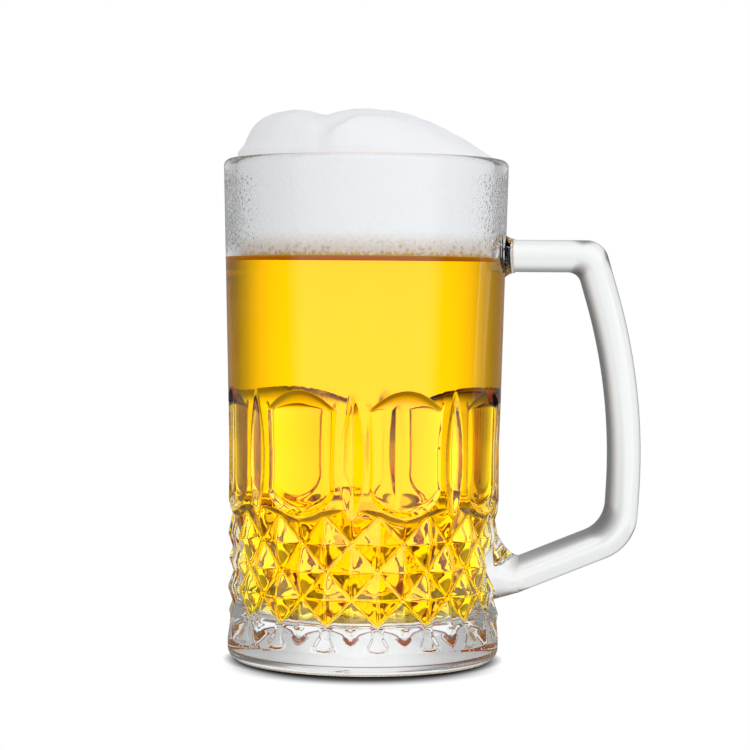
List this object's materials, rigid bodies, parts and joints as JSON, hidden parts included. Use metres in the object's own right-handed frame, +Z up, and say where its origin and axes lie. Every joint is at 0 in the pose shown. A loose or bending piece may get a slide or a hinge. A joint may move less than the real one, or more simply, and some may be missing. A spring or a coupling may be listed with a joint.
{
  "type": "filled beer mug",
  "caption": "Filled glass beer mug: tall pressed barrel with arched windows, pointed mitre cuts and a diamond band, a welded loop handle, golden beer and a foam crown.",
  "frame": {"origin": "centre of the foot ring, on the table", "axes": "+Z up along the barrel's axis, +X towards the handle"},
  "size_m": [0.1289, 0.088, 0.17],
  "materials": {
    "glass": "clear pressed glass, fire-polished",
    "beer": null,
    "foam": null
  },
  "bodies": {
    "root": {"mug_body": "glass", "handle": "glass", "beer": "beer", "foam_head": "foam"}
  },
  "joints": []
}
